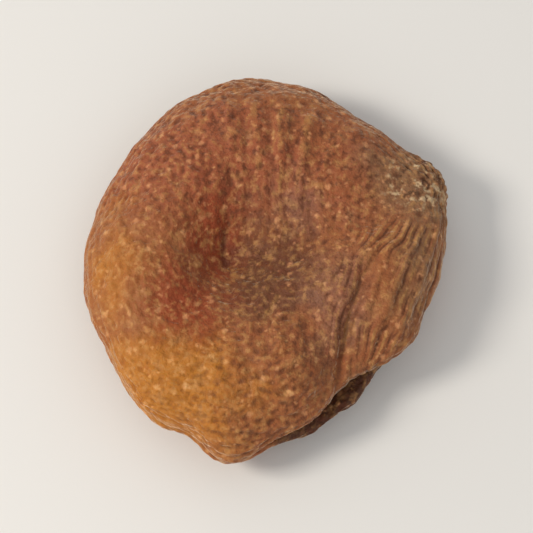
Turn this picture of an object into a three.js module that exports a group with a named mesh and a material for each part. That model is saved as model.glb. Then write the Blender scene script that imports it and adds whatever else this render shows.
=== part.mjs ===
// A dried apricot: one whole fruit, sun-dried, stoned through a slit in its edge and pressed into
// a thick disc with a puffy rim, a sunken middle and wrinkled skin. It lies on one cheek.
// Millimetres, +Z up. The origin is on the surface that it lies on, under the middle of the fruit.
// Angles are degrees counter-clockwise from +X, as seen from above.
//
// The skin is a ball whose every direction is given a place: its angle round the fruit, and in the
// upright section through there how far `out` from the middle (0 to 1) and how far `up` from the
// widest line of the edge (1 is the top, -1 is underneath).

import * as THREE from "three";
import { ImprovedNoise } from "three/addons/math/ImprovedNoise.js";
import { mergeVertices } from "three/addons/utils/BufferGeometryUtils.js";

// The pressed fruit
const MEAN_RADIUS = 19.8; // middle to edge, before the swells of the outline
const UPPER_RISE = 6.7; // widest line of the edge up to the top of the section
const LOWER_DROP = 5.3; // widest line of the edge down to the surface that the fruit lies on
const SECTION_POWER = 2.4; // 2 makes the section an ellipse, more makes it squarer
const EDGE_SWAY = { height: 0.5, turned: 40, power: 4 }; // the edge rises and dips twice all round
const REST = { flat: 0.22, free: 0.42 }; // shares of the way out: pressed flat, and free of the surface

// How the outline swells and draws in, in mm
const OUTLINE_SWELLS = [
  { at: 13.5, spread: 7.5, rise: 0.4 }, // edge below the stem end
  { at: 30, spread: 9.8, rise: 2.6 }, // stem end, a blunt corner
  { at: 47, spread: 8.6, rise: 0.5 }, // edge above the stem end
  { at: 98, spread: 38, rise: 3.2 }, // far side
  { at: 154, spread: 15, rise: -0.8 }, // far left, a little flat
  { at: 211, spread: 10, rise: -0.7 }, // near left, a little flat
  { at: 233, spread: 14, rise: 1.4 }, // near left shoulder
  { at: 260, spread: 10, rise: 2.6 }, // the fruit's tip, a small knob
  { at: 313, spread: 28, rise: -3.5 }, // drawn in beside the slit
  { at: 347, spread: 12.5, rise: -1.15 }, // edge of the lobe
];
const OUTLINE_WAVER = { size: 6.5, height: 0.28 };

// How high the rim stands, in mm. The swells come in between two shares of the way out.
const RIM = { from: 0.2, to: 0.8 };
const RIM_SWELLS = [
  { at: 205, spread: 52, rise: 0.7 }, // puffy left and near side
  { at: 30, spread: 16, rise: -1.6 }, // pinched at the stem end
  { at: 345, spread: 22, rise: 0.6 }, // lobe beside the crease
  { at: 304, spread: 12, rise: -0.6 }, // where the crease runs out over the edge
  { at: 262, spread: 8, rise: -0.6 }, // tip
];

// The slit that the stone was pressed out of, between an upper and a lower lip
const SLIT = { at: 307, halfLength: 44, taper: 31, depth: 3.6, mouth: 0.5 };
const LIP_ROLL = { away: 1.5, spread: 0.8, rise: 0.35 };
const LIP_THICKNESS = 0.17; // share of the section's height in which a lip comes to its own outline
const UPPER_LIP_SWELLS = [
  { at: 299, spread: 12, rise: -1.3 }, // the upper lip is drawn back left of the crease
  { at: 334, spread: 16, rise: 0.7 }, // and overhangs right of it
];
const LOWER_LIP_SWELLS = [
  { at: 300, spread: 18, rise: 0.4 },
  { at: 336, spread: 15, rise: -1.3 },
];

// The sunken middle of the upper cheek: steep on its left, easing out to the right
const DIMPLE = { x: -3.6, y: 0.8, depth: 4.5, left: 4.9, right: 12.0, near: 9.0, far: 9.0, slant: 0.35 };
const PIT = { depth: 0.9, spread: 3.0 }; // the deepest spot of the dimple

// The right of the upper cheek is gathered between the stem end and a spot beyond the notch in
// the upper lip. Its crease and ridges are arcs through both, told apart by the angle at which a
// point of the arc sees the two ends: 180 straight between them, more on the side of the edge.
const STEM_END = new THREE.Vector2(20.4, 10.9);
const BEYOND_NOTCH = new THREE.Vector2(7.5, -20.5);
const CREASE = { sight: 155, spread: 6.0, depth: 0.85, fromStem: 0.25, full: 0.65 };
const RIDGES = { spacing: 14.5, height: 0.22, clearOfEnds: 4.5, waver: 4, waverSize: 9 };
const FAINT_RIDGES = { share: 0.5, width: 55 }; // left of the crease they are low and soon fade out

// Stripes that fan out from the dimple to the far side
const FAN = { x: 1.0, y: -8.0, at: 88, spread: 15, spacing: 7.2, height: 0.2 };
const FAN_LENGTH = { begin: 12, full: 17, waning: 25, end: 29 };

// Folds of the skin that radiate from the middle: `turns` says how many there are for each unit
// of direction, `along` how soon they break off on their way out. They come in between two shares
// of the way out, and end at some mm above and below the edge.
const FOLDS = { from: 0.15, to: 0.55, endAbove: 0.5, fullAbove: 4, endBelow: 0, fullBelow: 2.5 };
const UPPER_FOLDS = { turns: 2.3, along: 2.4, twist: 24, height: 0.3, layer: 0 };
const UNDER_FOLDS = { turns: 2.5, along: 3.2, twist: -38, height: 1.3, layer: 9 };
const EDGE_FOLDS = { length: 9, spacing: 2.4, height: 0.5, reach: 3.6 }; // these run along the edge
const LUMPS = { size: 5.2, height: 0.3 };
const BUCKLES = { size: 2.3, height: 0.22 }; // the finest wrinkles that the facets can show

// Facets along a quarter of the edge, and how much finer they are on top than underneath
const FACETS = 31;
const TOP_BIAS = 0.38;

const SKIN = { color: "#a8683a", roughness: 0.62, metalness: 0 };

const noiseField = new ImprovedNoise();
const NOISE_ORIGIN = 37.4;
const VALLEY_ROUNDING = 0.1;

const bell = (distance, spread) => Math.exp(-((distance / spread) ** 2));
const ramp = (value, low, high) => THREE.MathUtils.smoothstep(value, low, high);
const radians = THREE.MathUtils.degToRad;
const degrees = THREE.MathUtils.radToDeg;

// Smooth noise from about -1 to 1
function noise(x, y, z) {
  return noiseField.noise(x + NOISE_ORIGIN, y + NOISE_ORIGIN, z + NOISE_ORIGIN);
}

function noiseAt(point, size) {
  return noise(point.x / size, point.y / size, point.z / size);
}

// Round-topped folds with narrow valleys between them, from about -0.3 to 0.9
function billow(x, y, z) {
  return 2 * Math.hypot(noise(x, y, z), VALLEY_ROUNDING) - 0.5;
}

// Degrees from one angle to another, the short way round
function turn(from, to) {
  return THREE.MathUtils.euclideanModulo(to - from + 180, 360) - 180;
}

function swellAt(angle, swells) {
  return swells.reduce((sum, swell) => sum + swell.rise * bell(turn(swell.at, angle), swell.spread), 0);
}

// The place of a direction from the middle of the ball. The section is a squared ellipse.
function placeOf(direction) {
  const down = Math.acos(THREE.MathUtils.clamp(direction.z, -1, 1)) / Math.PI;
  const turned = Math.PI * THREE.MathUtils.lerp(down, down ** 2, TOP_BIAS);
  const power = 2 / SECTION_POWER;
  const up = Math.cos(turned);
  return {
    angle: degrees(Math.atan2(direction.y, direction.x)),
    out: Math.max(Math.sin(turned), 0) ** power,
    up: Math.sign(up) * Math.abs(up) ** power,
  };
}

// Height in the section above or below the widest line of the edge
function heightFromEdge({ up }) {
  return up * (up > 0 ? UPPER_RISE : LOWER_DROP);
}

// The outline seen from above, where the two lips have outlines of their own
function outlineRadius({ angle, up }) {
  const lips = up >= 0 ? UPPER_LIP_SWELLS : LOWER_LIP_SWELLS;
  const lip = swellAt(angle, lips) * Math.min(1, Math.abs(up) / LIP_THICKNESS);
  const round = MEAN_RADIUS / OUTLINE_WAVER.size;
  const waver = noise(round * Math.cos(radians(angle)), round * Math.sin(radians(angle)), 0);
  return MEAN_RADIUS + swellAt(angle, OUTLINE_SWELLS) + lip + OUTLINE_WAVER.height * waver;
}

function dimpleDepth(x, y) {
  const ahead = x - DIMPLE.x - DIMPLE.slant * (y - DIMPLE.y);
  const acrossX = ahead / (ahead < 0 ? DIMPLE.left : DIMPLE.right);
  const acrossY = (y - DIMPLE.y) / (y < DIMPLE.y ? DIMPLE.near : DIMPLE.far);
  const pit = PIT.depth * bell(Math.hypot(x - DIMPLE.x, y - DIMPLE.y), PIT.spread);
  return DIMPLE.depth * bell(Math.hypot(acrossX, acrossY), 1) + pit;
}

// The fruit before its wrinkles
function formPoint(place) {
  const { angle, out, up } = place;
  const radius = outlineRadius(place) * out;
  const x = radius * Math.cos(radians(angle));
  const y = radius * Math.sin(radians(angle));
  const sway = EDGE_SWAY.height * Math.sin(radians(2 * angle + EDGE_SWAY.turned)) * out ** EDGE_SWAY.power;
  const edge = LOWER_DROP + sway;
  if (up < 0) return new THREE.Vector3(x, y, edge * (1 + up));
  const rise = UPPER_RISE - sway + swellAt(angle, RIM_SWELLS) * ramp(out, RIM.from, RIM.to);
  return new THREE.Vector3(x, y, edge + up * rise - dimpleDepth(x, y));
}

// The way that the form faces, from four points close round it
function formNormal(direction) {
  const step = 0.01;
  const side = Math.abs(direction.z) > 0.5 ? new THREE.Vector3(1, 0, 0) : new THREE.Vector3(0, 0, 1);
  const a = side.cross(direction).normalize().multiplyScalar(step);
  const b = direction.clone().cross(a);
  const near = (offset, sign) =>
    formPoint(placeOf(direction.clone().addScaledVector(offset, sign).normalize()));
  const alongA = near(a, 1).sub(near(a, -1));
  const alongB = near(b, 1).sub(near(b, -1));
  return alongA.cross(alongB).normalize();
}

function radialFolds({ angle, out }, folds) {
  const direction = radians(angle + folds.twist * out);
  const x = folds.turns * Math.cos(direction);
  const y = folds.turns * Math.sin(direction);
  return folds.height * billow(x, y, folds.along * out + folds.layer) * ramp(out, FOLDS.from, FOLDS.to);
}

function edgeFolds(place) {
  const round = MEAN_RADIUS / EDGE_FOLDS.length;
  const height = heightFromEdge(place);
  const x = round * Math.cos(radians(place.angle));
  const y = round * Math.sin(radians(place.angle));
  return EDGE_FOLDS.height * noise(x, y, height / EDGE_FOLDS.spacing) * bell(height, EDGE_FOLDS.reach);
}

// The crease, and the ridges between it and the edge
function gathers(point) {
  const toStem = new THREE.Vector2(STEM_END.x - point.x, STEM_END.y - point.y);
  const toNotch = new THREE.Vector2(BEYOND_NOTCH.x - point.x, BEYOND_NOTCH.y - point.y);
  const sight = THREE.MathUtils.euclideanModulo(degrees(toStem.angle() - toNotch.angle()), 360);
  const along = toStem.length() / (toStem.length() + toNotch.length());
  const waver = RIDGES.waver * noiseAt(point, RIDGES.waverSize);
  const shape = Math.cos(((sight - CREASE.sight + waver) / RIDGES.spacing) * 2 * Math.PI);
  const faint = FAINT_RIDGES.share * ramp(sight, CREASE.sight - FAINT_RIDGES.width, CREASE.sight);
  const onLobe = THREE.MathUtils.lerp(faint, 1, ramp(sight, CREASE.sight, CREASE.sight + RIDGES.spacing));
  const nearEnd = Math.min(toStem.length(), toNotch.length());
  const reach = onLobe * ramp(nearEnd, 0, RIDGES.clearOfEnds);
  const crease = bell(sight - CREASE.sight, CREASE.spread) * ramp(along, CREASE.fromStem, CREASE.full);
  return -RIDGES.height * shape * reach - CREASE.depth * crease;
}

function fanStripes(point) {
  const away = new THREE.Vector2(point.x - FAN.x, point.y - FAN.y);
  const off = turn(FAN.at, degrees(away.angle()));
  const shape = Math.cos((off / FAN.spacing) * 2 * Math.PI);
  const begun = ramp(away.length(), FAN_LENGTH.begin, FAN_LENGTH.full);
  const ended = ramp(away.length(), FAN_LENGTH.waning, FAN_LENGTH.end);
  return FAN.height * shape * bell(off, FAN.spread) * begun * (1 - ended);
}

// Lip rolls on both sides of the slit, and the slit itself
function slitRelief(place, open) {
  const height = heightFromEdge(place);
  const roll = LIP_ROLL.rise * bell(Math.abs(height) - LIP_ROLL.away, LIP_ROLL.spread);
  return open * (roll - SLIT.depth * bell(height, SLIT.mouth));
}

// The folds of the upper or the lower cheek
function cheekFolds(place, point) {
  const height = heightFromEdge(place);
  if (place.up < 0) return radialFolds(place, UNDER_FOLDS) * ramp(-height, FOLDS.endBelow, FOLDS.fullBelow);
  const folds = radialFolds(place, UPPER_FOLDS) + gathers(point) + fanStripes(point);
  return folds * ramp(height, FOLDS.endAbove, FOLDS.fullAbove);
}

// Height of all the wrinkles above the form, in mm
function reliefAt(place, point) {
  const open = ramp(SLIT.halfLength - Math.abs(turn(SLIT.at, place.angle)), 0, SLIT.taper);
  const edge = edgeFolds(place) * (1 - open * bell(heightFromEdge(place), LIP_ROLL.away));
  const skin = LUMPS.height * noiseAt(point, LUMPS.size) + BUCKLES.height * noiseAt(point, BUCKLES.size);
  return skin + edge + cheekFolds(place, point) + slitRelief(place, open);
}

function skinPoint(direction) {
  const place = placeOf(direction);
  const point = formPoint(place);
  const onSurface = place.up < 0 ? 1 - ramp(place.out, REST.flat, REST.free) : 0;
  point.addScaledVector(formNormal(direction), reliefAt(place, point) * (1 - onSurface));
  point.z = Math.max(point.z * (1 - onSurface), 0);
  return point;
}

// A cube's grid, blown up to a ball with even facets
function ballDirections() {
  const cube = new THREE.BoxGeometry(2, 2, 2, FACETS, FACETS, FACETS);
  cube.deleteAttribute("uv");
  cube.deleteAttribute("normal");
  const ball = mergeVertices(cube, 1e-4);
  const even = (value) => Math.tan((value * Math.PI) / 4);
  const position = ball.getAttribute("position");
  const directions = Array.from({ length: position.count }, (_, i) => {
    const corner = new THREE.Vector3().fromBufferAttribute(position, i);
    return new THREE.Vector3(even(corner.x), even(corner.y), even(corner.z)).normalize();
  });
  return { directions, index: Array.from(ball.getIndex().array) };
}

// The skin's mesh. A four-sided facet is split along the diagonal that lies closer to the skin.
function fruitGeometry() {
  const { directions, index } = ballDirections();
  const points = directions.map(skinPoint);
  const missedBy = (middle, from, to) => middle.distanceTo(points[from].clone().lerp(points[to], 0.5));
  const triangles = [];
  for (let i = 0; i < index.length; i += 6) {
    const [a, b, d, , c] = index.slice(i, i + 6);
    const middle = [a, b, c, d].reduce((sum, at) => sum.add(directions[at]), new THREE.Vector3());
    const skin = skinPoint(middle.normalize());
    if (missedBy(skin, a, c) < missedBy(skin, b, d)) triangles.push(a, b, c, a, c, d);
    else triangles.push(a, b, d, b, c, d);
  }
  return new THREE.BufferGeometry().setFromPoints(points).setIndex(triangles);
}

// Puts the middle of the fruit's box over the origin
function centred(geometry) {
  geometry.computeBoundingBox();
  const middle = geometry.boundingBox.getCenter(new THREE.Vector3());
  return geometry.translate(-middle.x, -middle.y, -geometry.boundingBox.min.z);
}

const apricot = new THREE.Mesh(centred(fruitGeometry()), new THREE.MeshStandardMaterial(SKIN));
apricot.name = "apricot";

const fruit = new THREE.Group();
fruit.add(apricot);

export default fruit;
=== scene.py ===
"""A whole dried apricot, stoned and pressed flat, lying on one cheek on a pale floor.

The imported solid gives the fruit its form. Here its skin is made finer and buckles as a drying skin
does: the flesh under it shrinks, and the skin, which shrinks less, folds up at a spacing that its
own thickness sets. Lengths on the fruit are in mm until they go into a mesh, and those of the
lights, the camera and the floor are in metres. Angles are degrees counter-clockwise from +X, as
seen from above.
"""

import math

import bpy
import numpy as np
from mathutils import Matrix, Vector, noise
from mathutils.bvhtree import BVHTree


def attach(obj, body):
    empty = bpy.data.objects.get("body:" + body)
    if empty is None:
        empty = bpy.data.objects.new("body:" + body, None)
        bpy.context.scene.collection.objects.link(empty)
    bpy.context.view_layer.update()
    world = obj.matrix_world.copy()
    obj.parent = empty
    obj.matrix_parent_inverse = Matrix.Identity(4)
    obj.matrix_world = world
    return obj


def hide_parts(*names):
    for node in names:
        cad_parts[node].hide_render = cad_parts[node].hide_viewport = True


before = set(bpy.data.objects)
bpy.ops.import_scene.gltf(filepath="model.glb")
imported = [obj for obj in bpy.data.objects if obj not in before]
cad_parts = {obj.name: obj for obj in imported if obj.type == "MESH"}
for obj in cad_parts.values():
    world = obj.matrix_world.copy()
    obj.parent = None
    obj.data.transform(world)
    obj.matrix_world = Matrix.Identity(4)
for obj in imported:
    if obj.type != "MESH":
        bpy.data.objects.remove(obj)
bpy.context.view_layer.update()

MM = 0.001
TOUCHING = 0.001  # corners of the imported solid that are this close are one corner

# Places on the fruit, seen from above
MIDDLE = (-0.2, -0.8)
STEM_END = (20.3, 10.3)
BEYOND_NOTCH = (7.4, -21.1)
FAN_ORIGIN = (0.9, -8.6)
DIMPLE_FLOOR = (1, -3)
EDGE_HEIGHT = 5.3  # where the fruit is widest

# How far those places and the sides of the fruit reach: in mm, and in degrees where they lie at an angle
CORNER_SPREAD = 7
FLOOR_SPREAD = 9
LEFT_CHEEK = {"at": 200, "spread": 62}
UPPER_RIGHT_EDGE = {"at": 55, "spread": 26}
FAN = {"at": 88, "spread": 24}
SLIT = {"at": 307, "half_length": 44, "taper": 22}

# The skin's folds, and the fine wrinkles on them. Spacing is from crest to crest, height from
# furrow to crest, and growth is how long they grow, in the pattern's own time. A short growth
# leaves them as uneven as the noise that they grow from.
FOLDS = {"spacing": 2.7, "height": 0.3, "growth": 12, "seed": 11}
WRINKLES = {"spacing": 1.1, "height": 0.22, "growth": 4.0, "seed": 23}
ROOM = 3.0  # how far out the air in front of the skin is measured, to keep the folds low in the slit

# How the folds grow. Waves rise where the onset is above 0, and the more it is, the higher they end.
ONSET = {"mean": 0.32, "waver": 0.12}
FIRST_NOISE = 0.3  # the unevenness that they grow from
PULL = 1.6  # how strongly a pull lines the folds up with itself
EDGES_PER_FOLD = 7  # shorter edges would need smaller steps in time, so they count as this long
STEP_SAFETY = 1.6  # the steps in time run away above 2

# The lobe right of the crease is gathered into fine lines that run from the stem end to the notch.
# They are told apart by the angle at which a point sees those two ends, and so is the crease.
GATHERS = {"spacing": 7.3, "height": 0.18, "left": 104, "full": 152}

# The crease's spread, and how far it is apart from its twin, are angles too. They have these values
# at `given_at` from the notch, and widen towards it. The twin is thinner.
CREASE = {"sight": 154, "spread": 1.3, "depth": 0.28, "apart": 5.5, "given_at": 18, "twin_given_at": 14}

# Stripes that fan out to the far side, with a spacing in degrees
STRIPES = {"spacing": 7.2, "height": 0.08, "spread": 17}

# The short fold at the foot of the dimple's left wall
DIMPLE_LINE = {"x": -4.6, "near": -1.0, "far": 4.5, "bow": 0.05, "width": 0.45, "depth": 0.22}

# Spots of colour on the upper side: how strong each is, where its middle is, and how far it
# spreads along X and along Y. Some of them are painted shade, as marked.
SPOTS = {
    "blush": ((1.0, (-7, 10.5), (15, 8.5)), (0.7, (9, 9), (8, 8))),
    "amber": ((1.0, (-10.5, -15.5), (10.5, 7.5)), (0.55, (-17, -3), (6, 12)), (0.35, (12.5, -3), (3.5, 8))),
    # Ashen grey-brown in the middle, and a weaker spot near the notch at the lower right that is painted
    # shade
    "ash_and_shade": ((1.0, (-1, -2), (8, 7.5)), (0.45, (9, -13), (7, 5))),
    "tan": ((1.0, (16.5, 8.5), (7.5, 6.5)), (0.6, (16, -3), (5, 9))),
    "bloom": ((0.8, (7.5, -5.5), (5, 7)), (0.6, (3.5, 5.5), (5, 5))),
    # A dark red band on the dimple's left wall and a spot at its lower end: partly the skin's own red, partly
    # painted shade of the wall, which faces away from the lamp
    "red_and_painted_shade": ((1.0, (-5.8, 2), (3.6, 6)), (0.85, (-9, -6.5), (5.5, 5.5))),
    # Painted shade at the foot of the dimple's left wall
    "lip": ((0.45, (-3.6, 0.4), (2.2, 3)),),
}
# Spots on the cheek that the fruit lies on: how strong, where, and how far they spread
UNDER_SPOTS = {"amber": (0.45, (-12, -8), 9), "ash_and_shade": (0.5, (2, 1), 9)}

# The skin's own colour, and its colour in each zone with how strongly the zone takes it. Some zones are
# partly or wholly painted shade, as marked.
SKIN_COLOUR = "#9c5c34"
ZONE_COLOURS = {
    "blush": ("#9e5535", 0.9),
    "amber": ("#bb7624", 0.9),
    # A dark ashen brown, also used for painted shade
    "ash_and_shade": ("#603923", 0.85),
    "tan": ("#8d6949", 0.8),
    "bloom": ("#8a6250", 0.5),
    # Dark red, partly painted shade
    "red_and_painted_shade": ("#923f1f", 0.9),
    # A dark brown for painted shade
    "lip": ("#442719", 0.9),
}
# How wide the larger clouds of each mottling are. Real skin has a grain of about 0.2 mm, which
# wouldn't show from the camera, so it is drawn coarser.
CLOUDS = {"patches": 5.0, "mottle": 1.6, "crumbs": 1.1, "flecks": 0.9, "grain": 0.6}
GRAIN_DEPTH = 0.35
DOTS = {1.4: 1.0, 0.8: 0.8}  # spacings of the pale dots, and how strongly they show
DOT_BEND = 0.5  # the length over which the dots' outlines bend, by half of it at most

# The photograph looks down on the fruit at about 66 degrees, from its near side. The camera is
# `away` in metres from a point `aim` in mm above the floor.
CAMERA = {"above": 66, "away": 0.29, "lens": 180, "aim": 5.2}
ROOM_LIGHT = 0.5  # how bright the light from all round is


def ramp(values, low, high):
    """0 at low to 1 at high, eased at both ends. Low may be the larger one."""
    share = np.clip((values - low) / (high - low), 0, 1)
    return share * share * (3 - 2 * share)


def bell(distance, spread):
    return np.exp(-((distance / spread) ** 2))


def turn(start, end):
    """Degrees from one angle to another, the short way round."""
    return (end - start + 180) % 360 - 180


def soft_noise(points, size, layer):
    """Smooth noise of about -1 to 1 at each point. Layers differ from one another."""
    shift = Vector((layer * 17.3, layer * 5.9, 3.1))
    return np.array([noise.noise(Vector(point) / size + shift) for point in points])


def activate(piece):
    bpy.ops.object.select_all(action="DESELECT")
    piece.select_set(True)
    bpy.context.view_layer.objects.active = piece


def subdivide(piece):
    """Each face becomes four, and the surface between the facets' corners is rounded."""
    activate(piece)
    modifier = piece.modifiers.new("Subdivision", "SUBSURF")
    modifier.levels = 1
    modifier.render_levels = 1
    bpy.ops.object.modifier_apply(modifier=modifier.name)


def solid_as_quads():
    """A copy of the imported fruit. Its loose triangles are merged and paired back into squares."""
    skin = bpy.data.objects.new("apricot_skin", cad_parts["apricot"].data.copy())
    bpy.context.scene.collection.objects.link(skin)
    activate(skin)
    bpy.ops.object.mode_set(mode="EDIT")
    bpy.ops.mesh.select_all(action="SELECT")
    bpy.ops.mesh.remove_doubles(threshold=TOUCHING * MM)
    bpy.ops.mesh.tris_convert_to_quads(face_threshold=math.pi, shape_threshold=math.pi)
    bpy.ops.object.mode_set(mode="OBJECT")
    return skin


def read_points(skin):
    points = np.zeros(len(skin.data.vertices) * 3)
    skin.data.vertices.foreach_get("co", points)
    return points.reshape(-1, 3) / MM


def read_normals(skin):
    normals = np.zeros(len(skin.data.vertices) * 3)
    skin.data.vertices.foreach_get("normal", normals)
    return normals.reshape(-1, 3)


def read_edges(skin):
    edges = np.zeros(len(skin.data.edges) * 2, dtype=np.int64)
    skin.data.edges.foreach_get("vertices", edges)
    return edges.reshape(-1, 2)


def write_points(skin, points):
    skin.data.vertices.foreach_set("co", (points * MM).astype(np.float32).ravel())
    skin.data.update()


def read_values(skin, name):
    values = np.zeros(len(skin.data.vertices))
    skin.data.attributes[name].data.foreach_get("value", values)
    return values


def write_values(skin, name, values):
    layer = skin.data.attributes.new(name, "FLOAT", "POINT")
    layer.data.foreach_set("value", values.astype(np.float32))


def sight_angles(points):
    """The angle at which each point sees the two ends of the gathers: 180 straight between them."""
    to_stem = np.subtract(STEM_END, points[:, :2])
    to_notch = np.subtract(BEYOND_NOTCH, points[:, :2])
    stem_angle = np.degrees(np.arctan2(to_stem[:, 1], to_stem[:, 0]))
    notch_angle = np.degrees(np.arctan2(to_notch[:, 1], to_notch[:, 0]))
    return (stem_angle - notch_angle) % 360


def angles_round(points, middle=MIDDLE):
    return np.degrees(np.arctan2(points[:, 1] - middle[1], points[:, 0] - middle[0]))


def away_from(points, place):
    return np.hypot(points[:, 0] - place[0], points[:, 1] - place[1])


def from_nearer_end(points):
    """How far each point is from the nearer of the two ends of the gathers."""
    return np.minimum(away_from(points, STEM_END), away_from(points, BEYOND_NOTCH))


def upper_face(points):
    """1 on the face that the fruit turns up, fading out over its edge."""
    return ramp(points[:, 2], 4.5, 6.5)


def left_cheek(points):
    """1 on the puffy left and near side of the rim, where the skin is smoothest."""
    return bell(turn(LEFT_CHEEK["at"], angles_round(points)), LEFT_CHEEK["spread"]) * ramp(points[:, 2], 3, 6)


def lobe(points):
    """1 on the gathered lobe between the crease and the edge."""
    return ramp(points[:, 2], 4, 6) * ramp(sight_angles(points), 140, 165)


def stem_corner(points):
    return bell(away_from(points, STEM_END), CORNER_SPREAD)


def free_room(skin, points, normals, reach):
    """How far the air goes straight out from each point of the skin, up to a reach."""
    tree = BVHTree.FromObject(skin, bpy.context.evaluated_depsgraph_get())
    room = np.full(len(points), reach)
    for index in range(len(points)):
        just_off = Vector((points[index] + 0.02 * normals[index]) * MM)
        distance = tree.ray_cast(just_off, Vector(normals[index]), reach * MM)[3]
        if distance is not None:
            room[index] = distance / MM
    return room


def pulls_of(points, normals):
    """Which way the skin is drawn at each point, as (strength, direction) pairs. Folds run along it."""
    plan = points[:, :2]
    upper = ramp(points[:, 2], 3.5, 6)

    # Over the lobe, along arcs between the stem end and the notch
    from_stem = plan - STEM_END
    from_notch = plan - BEYOND_NOTCH
    arcs = from_stem / (from_stem**2).sum(1)[:, None] - from_notch / (from_notch**2).sum(1)[:, None]
    gathered = upper * ramp(sight_angles(points), 110, 150) * ramp(from_nearer_end(points), 3, 8)

    # Over the far side, outwards from the dimple
    from_fan = plan - FAN_ORIGIN
    fan_length = np.hypot(*from_fan.T)
    fanned = upper * bell(turn(FAN["at"], angles_round(points, FAN_ORIGIN)), FAN["spread"])
    fanned = fanned * ramp(fan_length, 9, 14) * (1 - ramp(fan_length, 27, 31)) * (1 - gathered)

    # Round the edge, and more so at its upper right
    from_middle = plan - MIDDLE
    distance = np.hypot(*from_middle.T)
    tangent = np.stack([-from_middle[:, 1], from_middle[:, 0]], axis=1)
    bearing = turn(UPPER_RIGHT_EDGE["at"], angles_round(points))
    edge = ramp(distance, 14.5, 18.5) * bell(bearing, UPPER_RIGHT_EDGE["spread"])
    all_round = 0.45 * bell(points[:, 2] - EDGE_HEIGHT, 2.2) * ramp(distance, 13, 17)
    edge = np.maximum(edge, all_round) * (1 - 0.7 * gathered) * (1 - stem_corner(points))

    pulls = []
    for strength, flat_direction in ((gathered, arcs), (0.7 * fanned, from_fan), (0.7 * edge, tangent)):
        direction = np.column_stack([flat_direction, np.zeros(len(points))])
        direction /= np.linalg.norm(direction, axis=1)[:, None]
        direction -= normals * (direction * normals).sum(1)[:, None]
        pulls.append((strength, direction))
    return pulls


def buckle(points, normals, edges, pattern):
    """The folds of a skin that is too wide for its flesh, 0 in a furrow to 1 on a crest.

    This is the Swift-Hohenberg equation on the net of the mesh: waves of one spacing grow out of
    noise, and crowd each other until they fill the skin. Where it is pulled, they run along the pull.
    """
    count = len(points)
    first, second = edges.T
    step = points[second] - points[first]
    length = np.linalg.norm(step, axis=1)
    direction = step / length[:, None]
    stiffness = 1 / np.maximum(length, pattern["spacing"] / EDGES_PER_FOLD) ** 2
    share = 4 / np.bincount(edges.ravel(), minlength=count)
    along = np.zeros(len(edges))
    for strength, pull in pulls_of(points, normals):
        for end in (first, second):
            along += 0.5 * strength[end] * (direction * pull[end]).sum(1) ** 2
    along = PULL * np.minimum(along, 1) * stiffness

    def spread(values, weights):
        flow = weights * (values[second] - values[first])
        return share * (np.bincount(first, flow, count) - np.bincount(second, flow, count))

    wave = (2 * math.pi / pattern["spacing"]) ** 2
    stiffest = 2 * (share * np.bincount(edges.ravel(), np.repeat(stiffness, 2), count)).max()
    tick = STEP_SAFETY / ((stiffest / wave - 1) ** 2 + 2 * PULL * stiffest / wave)
    onset = ONSET["mean"] + ONSET["waver"] * soft_noise(points, 4 * pattern["spacing"], pattern["seed"])
    values = np.random.default_rng(pattern["seed"]).normal(0, FIRST_NOISE, count)
    for _ in range(int(pattern["growth"] / tick)):
        tension = values + spread(values, stiffness) / wave
        tension = tension + spread(tension, stiffness) / wave
        growth = onset * values - tension - values**3
        values = values + tick * (growth + spread(values, along) / wave)
    highest = np.percentile(np.abs(values), 97)
    return 0.5 + 0.5 * np.clip(values / highest, -1, 1)


def gather_lines(points):
    """Lines drawn from the stem end to the notch, 0 in a furrow to 1 between two, and how far each
    point takes part in them."""
    sight = sight_angles(points)
    wander = 6 * soft_noise(points, size=6, layer=8) + 3 * soft_noise(points, size=2.4, layer=9)
    lines = 0.5 + 0.5 * np.cos(np.radians(360 * (sight + wander) / GATHERS["spacing"]))
    share = ramp(sight, GATHERS["left"], GATHERS["full"]) ** 1.5 * ramp(from_nearer_end(points), 3.5, 9)
    broken = np.clip(0.6 + 1.1 * soft_noise(points, size=3.2, layer=10), 0, 1)
    return lines**0.5, share * broken * upper_face(points)


def stripe_lines(points):
    """Beaded stripes that fan out from the dimple, 0 in a furrow to 1 between two, and how far each
    point takes part in them."""
    off = turn(FAN["at"], angles_round(points, FAN_ORIGIN))
    wander = 1.6 * soft_noise(points, size=3, layer=13)
    lines = 0.5 + 0.5 * np.cos(np.radians(360 * (off + wander) / STRIPES["spacing"]))
    length = away_from(points, FAN_ORIGIN)
    share = bell(off, STRIPES["spread"]) * ramp(length, 12, 17) * (1 - ramp(length, 25, 29))
    beaded = np.clip(0.7 + soft_noise(points, size=1.8, layer=14), 0, 1)
    return lines**0.6, share * beaded * upper_face(points)


def crease_line(points):
    """1 along the crease, which is sharpest where it opens into the notch, and has a twin there."""
    sight = sight_angles(points) + 3 * soft_noise(points, size=6, layer=7)
    from_notch = np.maximum(away_from(points, BEYOND_NOTCH), 4)
    one = bell(sight - CREASE["sight"], CREASE["spread"] * CREASE["given_at"] / from_notch)
    apart = CREASE["apart"] * CREASE["given_at"] / from_notch
    twin = bell(sight - CREASE["sight"] - apart, CREASE["spread"] * CREASE["twin_given_at"] / from_notch)
    line = np.maximum(one * (1 - ramp(from_notch, 16, 25)), 0.8 * twin * (1 - ramp(from_notch, 9, 13)))
    return line * upper_face(points)


def dimple_line(points):
    """1 along the short fold at the foot of the dimple's left wall."""
    along = points[:, 1]
    middle = 0.5 * (DIMPLE_LINE["near"] + DIMPLE_LINE["far"])
    bowed = DIMPLE_LINE["x"] + DIMPLE_LINE["bow"] * (along - middle) ** 2
    wander = 0.35 * soft_noise(points, size=2, layer=12)
    line = bell(points[:, 0] - bowed - wander, DIMPLE_LINE["width"])
    ends = ramp(along, DIMPLE_LINE["near"] - 1, DIMPLE_LINE["near"] + 1)
    ends = ends * (1 - ramp(along, DIMPLE_LINE["far"] - 2, DIMPLE_LINE["far"]))
    return line * ends * ramp(points[:, 2], 2, 3.5)


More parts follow.
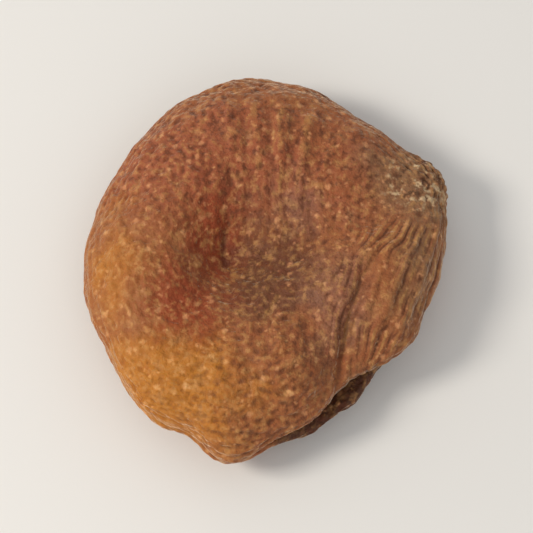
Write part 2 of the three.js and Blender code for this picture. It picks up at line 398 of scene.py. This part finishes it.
def fold_skin(skin):
    """The first, larger folds. They stay low in the slit and on the spot that the fruit rests on."""
    points = read_points(skin)
    normals = read_normals(skin)
    room = free_room(skin, points, normals, ROOM)
    clear = ramp(room, 0.5, 2.5) * ramp(points[:, 2], 0.15, 0.8)
    height = FOLDS["height"] * clear * (1 - 0.45 * lobe(points) - 0.3 * left_cheek(points))
    folds = buckle(points, normals, read_edges(skin), FOLDS) ** 0.6
    lift = height * (folds - 0.7)
    write_points(skin, points + normals * lift[:, None])
    write_values(skin, "folds", folds)
    write_values(skin, "room", room)


def wrinkle_skin(skin):
    """The fine wrinkles, the gathers' lines and the sharp bottoms of the crease and the dimple.

    Each is lifted or sunk about a level that leaves the fruit as large as it was. How much shade is
    painted into each furrow, the crease and the dimple's fold, and how much paler each crest is
    painted, partly as painted highlight, are kept too, for the material.
    """
    points = read_points(skin)
    normals = read_normals(skin)
    clear = ramp(read_values(skin, "room"), 0.4, 1.8) * ramp(points[:, 2], 0.1, 0.6)
    patchy = 1 + 0.3 * soft_noise(points, size=5, layer=4)
    sunken = bell(away_from(points, DIMPLE_FLOOR), FLOOR_SPREAD)
    wrinkles = buckle(points, normals, read_edges(skin), WRINKLES)
    wrinkles = np.clip(wrinkles + 0.42 * soft_noise(points, size=0.75, layer=5), 0, 1) ** 0.65
    lines, gathered = gather_lines(points)
    height = WRINKLES["height"] * patchy * (1 + 1.2 * stem_corner(points) - 0.35 * left_cheek(points))
    lift = height * (1 - 0.4 * gathered - 0.3 * sunken) * (wrinkles - 0.6)
    lift += GATHERS["height"] * gathered * (lines - 0.65)
    stripes, striped = stripe_lines(points)
    lift += STRIPES["height"] * striped * (stripes - 0.6)
    crease = crease_line(points)
    dimple = dimple_line(points)
    lift -= CREASE["depth"] * crease + DIMPLE_LINE["depth"] * dimple
    points = points + normals * (clear * lift)[:, None]
    points[:, 2] = np.maximum(points[:, 2], 0)
    write_points(skin, points)

    # Painted shade: how much darker the colour is made in each furrow of the wrinkles, folds, gathers and
    # stripes, in the crease and in the dimple's fold, less so on the smooth left cheek and in the dimple
    shallow = 1 - 0.75 * left_cheek(points) - 0.4 * sunken
    furrow_shade = 0.85 * shallow * ramp(wrinkles, 0.75, 0.15)
    furrow_shade = np.maximum(furrow_shade, gathered * ramp(lines, 0.6, 0.1))
    furrow_shade = np.maximum(furrow_shade, 0.55 * striped * ramp(stripes, 0.65, 0.15))
    furrow_shade = np.maximum(furrow_shade, 0.6 * shallow * ramp(read_values(skin, "folds"), 0.65, 0.1))
    furrow_shade = np.maximum(furrow_shade, np.maximum(0.5 * crease, 0.8 * dimple))
    write_values(skin, "furrow_shade", furrow_shade)
    # Paler colour on each crest, partly the skin's own tan and partly painted highlight
    crest_tint_and_highlight = np.maximum(gathered * ramp(lines, 0.75, 1), striped * ramp(stripes, 0.75, 1))
    write_values(skin, "crest_tint_and_highlight", np.maximum(crest_tint_and_highlight, 0.7 * ramp(wrinkles, 0.55, 1)))


def spots_on_top(points, spots):
    """How strongly a zone's spots colour each point of the upper side."""
    upper = ramp(points[:, 2], 2.5, 5)
    strongest = np.zeros(len(points))
    for strength, (x, y), (width, depth) in spots:
        away = np.hypot((points[:, 0] - x) / width, (points[:, 1] - y) / depth)
        strongest = np.maximum(strongest, strength * (bell(away, 1) * upper))
    return strongest


def paint_zones(skin):
    """Where the skin is red, amber, ashen, tan, dusty or smooth, and where shade is painted into its colour,
    as values that the material reads. Shade is painted in the slit, along its lower edge, at the foot of the
    dimple's left wall, on that wall and near the notch.
    """
    points = read_points(skin)
    zones = {name: spots_on_top(points, spots) for name, spots in SPOTS.items()}
    underside = 1 - ramp(points[:, 2], 1.5, 4)
    for name, (strength, place, spread) in UNDER_SPOTS.items():
        zones[name] = np.maximum(zones[name], strength * underside * bell(away_from(points, place), spread))

    # Painted shade inside the slit and along its lower edge, on the near right of the fruit
    round_slit = np.abs(turn(SLIT["at"], angles_round(points)))
    along_slit = 1 - ramp(round_slit, SLIT["half_length"] - SLIT["taper"], SLIT["half_length"])
    along_slit = along_slit * ramp(points[:, 2], 0.8, 2.5) * (1 - ramp(points[:, 2], 5, 6.5))
    zones["lip"] = np.maximum(zones["lip"], along_slit * ramp(away_from(points, MIDDLE), 9, 13))
    zones["smooth"] = np.maximum(0.85 * left_cheek(points), 0.5 * lobe(points))
    for name, values in zones.items():
        write_values(skin, name, values)


def linear(code):
    """An sRGB hex colour as the linear colour that a shader takes."""
    parts = [int(code[place : place + 2], 16) / 255 for place in (1, 3, 5)]
    return (*[part / 12.92 if part <= 0.04045 else ((part + 0.055) / 1.055) ** 2.4 for part in parts], 1)


def add_node(tree, kind, inputs=None, **settings):
    """A node with its settings, and with a value or another node's output on each input given."""
    made = tree.nodes.new("ShaderNode" + kind)
    for name, value in settings.items():
        setattr(made, name, value)
    for socket, value in (inputs or {}).items():
        if isinstance(value, bpy.types.NodeSocket):
            tree.links.new(value, made.inputs[socket])
        else:
            made.inputs[socket].default_value = value
    return made


def stain(tree, under, colour, source, low, high, strength, within=None, blend="MIX"):
    """Lays a hex colour over the skin, up to a strength where a source goes from low to high, and
    only within a mask if there is one."""
    levels = {"Value": source, "From Min": low, "From Max": high, "To Min": 0.0, "To Max": strength}
    cover = add_node(tree, "MapRange", levels, interpolation_type="SMOOTHSTEP").outputs["Result"]
    if within is not None:
        cover = add_node(tree, "Math", {0: cover, 1: within}, operation="MULTIPLY").outputs[0]
    layers = {"Factor": cover, 6: under, 7: linear(colour)}
    return add_node(tree, "Mix", layers, data_type="RGBA", blend_type=blend).outputs[2]


def pale_dots(tree, place, spacing):
    """How far each place is from a small uneven dot's middle, in spacings, and a mask that leaves out
    about half of the dots. A spacing in mm is the room that each dot has."""
    bend = add_node(tree, "TexNoise", {"Vector": place, "Scale": 1 / (DOT_BEND * MM), "Detail": 1.0})
    halfway = {0: bend.outputs["Color"], 1: (0.5, 0.5, 0.5)}
    shift = add_node(tree, "VectorMath", halfway, operation="SUBTRACT").outputs[0]
    bent = add_node(tree, "VectorMath", {0: shift, "Scale": DOT_BEND * MM}, operation="SCALE").outputs[0]
    bent = add_node(tree, "VectorMath", {0: place, 1: bent}, operation="ADD").outputs[0]
    cells = add_node(tree, "TexVoronoi", {"Vector": bent, "Scale": 1 / (spacing * MM)})
    lot = add_node(tree, "SeparateColor", {0: cells.outputs["Color"]}).outputs[0]
    levels = {"Value": lot, "From Min": 0.3, "From Max": 0.8}
    kept = add_node(tree, "MapRange", levels, interpolation_type="SMOOTHSTEP")
    return cells.outputs["Distance"], kept.outputs["Result"]


def dried_fruit_skin():
    """Sun-dried apricot skin: leathery, matt with a little sugar gloss, and amber where light gets
    through its flesh."""
    material = bpy.data.materials.new("dried_apricot_skin")
    material.use_nodes = True
    tree = material.node_tree
    tree.nodes.clear()
    place = add_node(tree, "TexCoord").outputs["Object"]
    clouds = {}
    for name, size in CLOUDS.items():
        settings = {"Vector": place, "Scale": 1 / (size * MM), "Detail": 3.0, "Roughness": 0.55}
        clouds[name] = add_node(tree, "TexNoise", settings).outputs["Fac"]
    zones = {}
    for name in (*ZONE_COLOURS, "crest_tint_and_highlight", "furrow_shade", "smooth"):
        zones[name] = add_node(tree, "Attribute", attribute_name=name).outputs["Fac"]

    # The zones, with ragged borders. Some of them are partly or wholly painted shade.
    colour = add_node(tree, "RGB").outputs[0]
    colour.default_value = linear(SKIN_COLOUR)
    levels = {"Value": clouds["patches"], "From Min": 0.3, "From Max": 0.7, "To Min": -0.18, "To Max": 0.18}
    ragged = add_node(tree, "MapRange", levels, interpolation_type="SMOOTHSTEP").outputs["Result"]
    for name, (shade, strength) in ZONE_COLOURS.items():
        zone = add_node(tree, "Math", {0: zones[name], 1: ragged}, operation="ADD").outputs[0]
        colour = stain(tree, colour, shade, zone, 0.12, 0.85, strength)

    # Red and pale mottling, paler crests that are partly painted highlight, and painted shade in each furrow
    # and crease
    colour = stain(tree, colour, "#8c4526", clouds["mottle"], 0.52, 0.75, 0.4)
    colour = stain(tree, colour, "#c08c52", clouds["mottle"], 0.48, 0.28, 0.35)
    # Paler tan on each crest, partly painted highlight
    colour = stain(tree, colour, "#bf8c50", zones["crest_tint_and_highlight"], 0.3, 1.0, 0.55)
    # Painted shade in each furrow and crease
    colour = stain(tree, colour, "#542813", zones["furrow_shade"], 0.0, 1.0, 0.8)

    # Dark flecks where the skin isn't smooth, and pale ones all over
    levels = {"Value": zones["smooth"], "From Min": 0.0, "From Max": 0.85, "To Min": 1.0, "To Max": 0.15}
    rough_skin = add_node(tree, "MapRange", levels, interpolation_type="SMOOTHSTEP").outputs["Result"]
    colour = stain(tree, colour, "#66361f", clouds["flecks"], 0.48, 0.33, 0.7, rough_skin)
    colour = stain(tree, colour, "#d0995c", clouds["flecks"], 0.52, 0.72, 0.4)

    # Pale and dark crumbs at the stem corner, where the zone of tan is strongest
    levels = {"Value": zones["tan"], "From Min": 0.62, "From Max": 0.95}
    at_corner = add_node(tree, "MapRange", levels, interpolation_type="SMOOTHSTEP").outputs["Result"]
    colour = stain(tree, colour, "#dcbd92", clouds["crumbs"], 0.52, 0.68, 0.9, at_corner)
    colour = stain(tree, colour, "#55351f", clouds["crumbs"], 0.47, 0.32, 0.9, at_corner)
    for spacing, strength in DOTS.items():
        from_middle, kept = pale_dots(tree, place, spacing)
        colour = stain(tree, colour, "#a06c48", from_middle, 0.34, 0.1, strength, kept, "SCREEN")

    grain = {"Height": clouds["grain"], "Strength": 1.0, "Distance": GRAIN_DEPTH * MM}
    relief = add_node(tree, "Bump", grain).outputs[0]
    levels = {"Value": clouds["mottle"], "From Min": 0.3, "From Max": 0.7, "To Min": 0.5, "To Max": 0.66}
    shine = add_node(tree, "MapRange", levels, interpolation_type="SMOOTHSTEP").outputs["Result"]
    surface = add_node(tree, "BsdfPrincipled", {
        "Base Color": colour,
        "Roughness": shine,
        "IOR": 1.45,
        "Specular IOR Level": 0.3,
        "Subsurface Weight": 0.12,
        "Subsurface Radius": (1.0, 0.4, 0.15),
        "Subsurface Scale": 0.9 * MM,
        "Sheen Weight": 0.8,
        "Sheen Roughness": 0.3,
        "Sheen Tint": linear("#ffe6c8"),
        "Normal": relief,
    })
    add_node(tree, "OutputMaterial", {"Surface": surface.outputs[0]})
    return material


def pale_floor():
    """A matt, nearly white board, large enough to fill the view."""
    bpy.ops.object.select_all(action="DESELECT")
    bpy.ops.mesh.primitive_plane_add(size=2.4, location=(0, 0.4, 0))
    floor = bpy.context.object
    floor.name = "floor"
    material = bpy.data.materials.new("matt_pale_floor")
    material.use_nodes = True
    shader = material.node_tree.nodes["Principled BSDF"]
    shader.inputs["Base Color"].default_value = linear("#ebe9e5")
    shader.inputs["Roughness"].default_value = 0.85
    floor.data.materials.append(material)


def soft_light(name, around, above, distance, size, power, colour="#ffffff"):
    """A square lamp that looks at the fruit from a bearing, a height in degrees and a distance in m."""
    lamp = bpy.data.lights.new(name, "AREA")
    lamp.size = size
    lamp.energy = power
    lamp.color = linear(colour)[:3]
    bearing = math.radians(around)
    rise = math.radians(above)
    spread = math.cos(rise)
    place = Vector((spread * math.cos(bearing), spread * math.sin(bearing), math.sin(rise))) * distance
    holder = bpy.data.objects.new(name, lamp)
    holder.location = place
    holder.rotation_euler = place.to_track_quat("Z", "Y").to_euler()
    bpy.context.scene.collection.objects.link(holder)


def light_the_scene():
    """One warm lamp from the left, weak ones from the front and the back, and light from all round."""
    soft_light("key_light", around=190, above=44, distance=0.45, size=0.13, power=1.12, colour="#fff8ee")
    soft_light("front_fill", around=275, above=40, distance=0.5, size=0.35, power=0.3)
    soft_light("rim_light", around=125, above=16, distance=0.5, size=0.2, power=0.2)
    world = bpy.data.worlds.new("soft_room")
    world.use_nodes = True
    world.node_tree.nodes["Background"].inputs["Color"].default_value = (1, 1, 1, 1)
    world.node_tree.nodes["Background"].inputs["Strength"].default_value = ROOM_LIGHT
    bpy.context.scene.world = world
    bpy.context.scene.view_settings.view_transform = "Standard"


def aim_camera():
    lens = bpy.data.cameras.new("camera")
    lens.sensor_width = 36
    lens.lens = CAMERA["lens"]
    lens.clip_start = 0.01
    rise = math.radians(CAMERA["above"])
    aim = Vector((0, 0, CAMERA["aim"] * MM))
    camera = bpy.data.objects.new("camera", lens)
    camera.location = aim + Vector((0, -math.cos(rise), math.sin(rise))) * CAMERA["away"]
    camera.rotation_euler = (math.pi / 2 - rise, 0, 0)
    bpy.context.scene.collection.objects.link(camera)
    bpy.context.scene.camera = camera


skin = solid_as_quads()
subdivide(skin)
fold_skin(skin)
subdivide(skin)
wrinkle_skin(skin)
paint_zones(skin)
activate(skin)
bpy.ops.object.shade_smooth()
skin.data.materials.clear()
skin.data.materials.append(dried_fruit_skin())
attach(skin, "root")
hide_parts("apricot")
pale_floor()
light_the_scene()
aim_camera()
